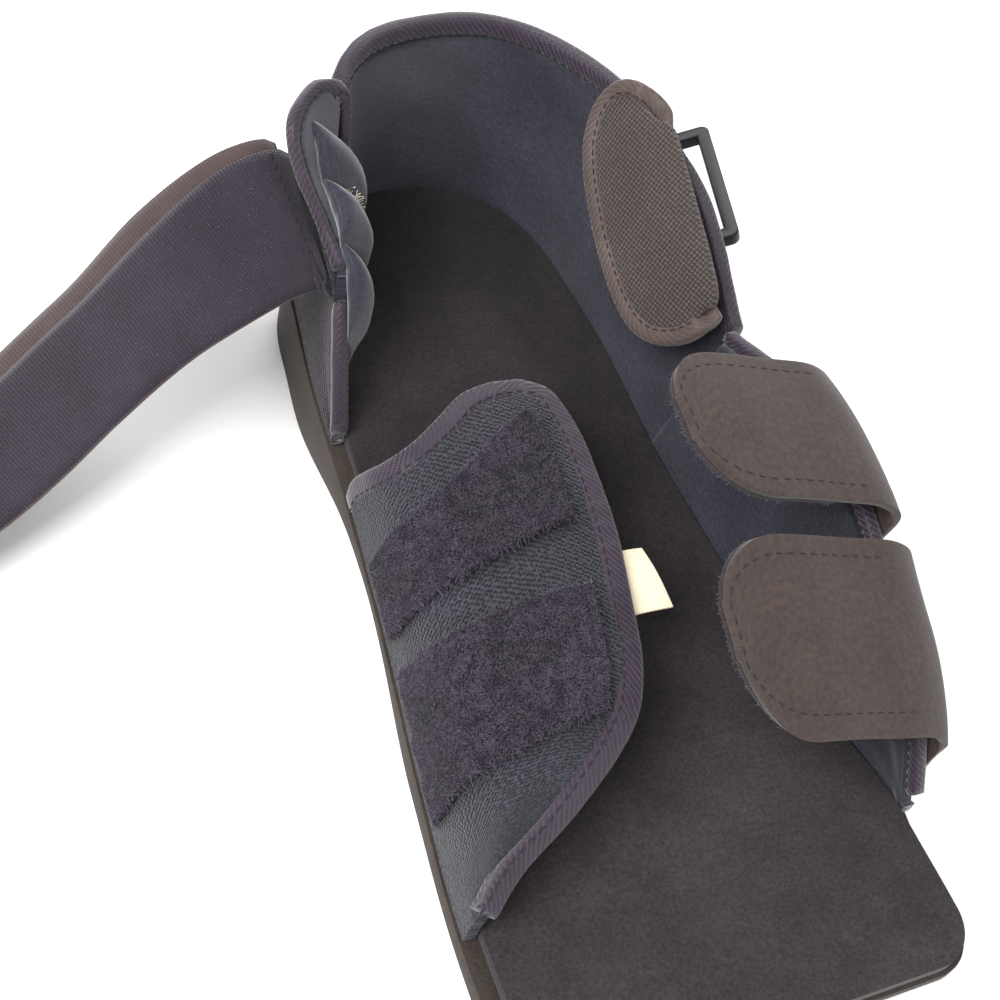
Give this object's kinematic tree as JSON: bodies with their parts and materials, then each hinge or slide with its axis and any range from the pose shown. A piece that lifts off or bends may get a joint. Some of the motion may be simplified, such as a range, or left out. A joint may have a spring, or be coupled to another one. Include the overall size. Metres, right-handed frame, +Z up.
{
  "type": "post operative shoe",
  "caption": "Open-toed shoe for a bandaged foot: stiff sole, heel wrap, folding forefoot flap, two forefoot straps, and an ankle strap with a ring.",
  "frame": {"origin": "middle of the heel block's flat underside", "axes": "+Z up from the floor, -Y towards the toe, +X towards the side with the two straps"},
  "size_m": [0.2553, 0.2664, 0.0939],
  "materials": {
    "outsole": "matt brown-grey foam rubber",
    "footbed": "matt brushed cloth, worn",
    "lining": "dark blue-black brushed lining",
    "binding": "woven satin-faced tape",
    "tab_binding": "wide satin-faced tape",
    "mesh": "open warp-knit mesh",
    "flap_mesh": "coarse spacer mesh",
    "loop": "deep plush loop",
    "microfibre": "matt nubuck-like microfibre",
    "hook": "fine hook tape",
    "webbing": "woven elastic webbing",
    "ring": "smooth dark moulded plastic",
    "label": "cream woven tape, bare"
  },
  "bodies": {
    "shoe": {"outsole": "outsole", "footbed": "footbed", "heel_wrap": "lining", "notch_binding": "binding", "collar_binding": "binding", "left_tab": "lining", "left_tab_binding": "binding", "left_tab_lining": "lining", "right_tab_panel": "mesh", "right_tab_binding": "tab_binding", "ring_keeper": "webbing", "forefoot_flap": "flap_mesh", "flap_binding": "binding", "loop_patch_rear": "loop", "loop_patch_front": "loop", "side_panel": "lining", "side_binding": "binding", "rear_strap": "microfibre", "rear_strap_hook": "hook", "front_strap": "microfibre", "front_strap_hook": "hook", "ankle_strap": "webbing", "label": "label"},
    "ring": {"strap_ring": "ring"}
  },
  "joints": [
    {"name": "ring_swing", "type": "hinge", "parent": "shoe", "child": "ring", "pos_m": [0.05728, -0.0216, 0.05799], "axis": [-0.2599, -0.9656, 0], "range_deg": [-100, 45]}
  ]
}
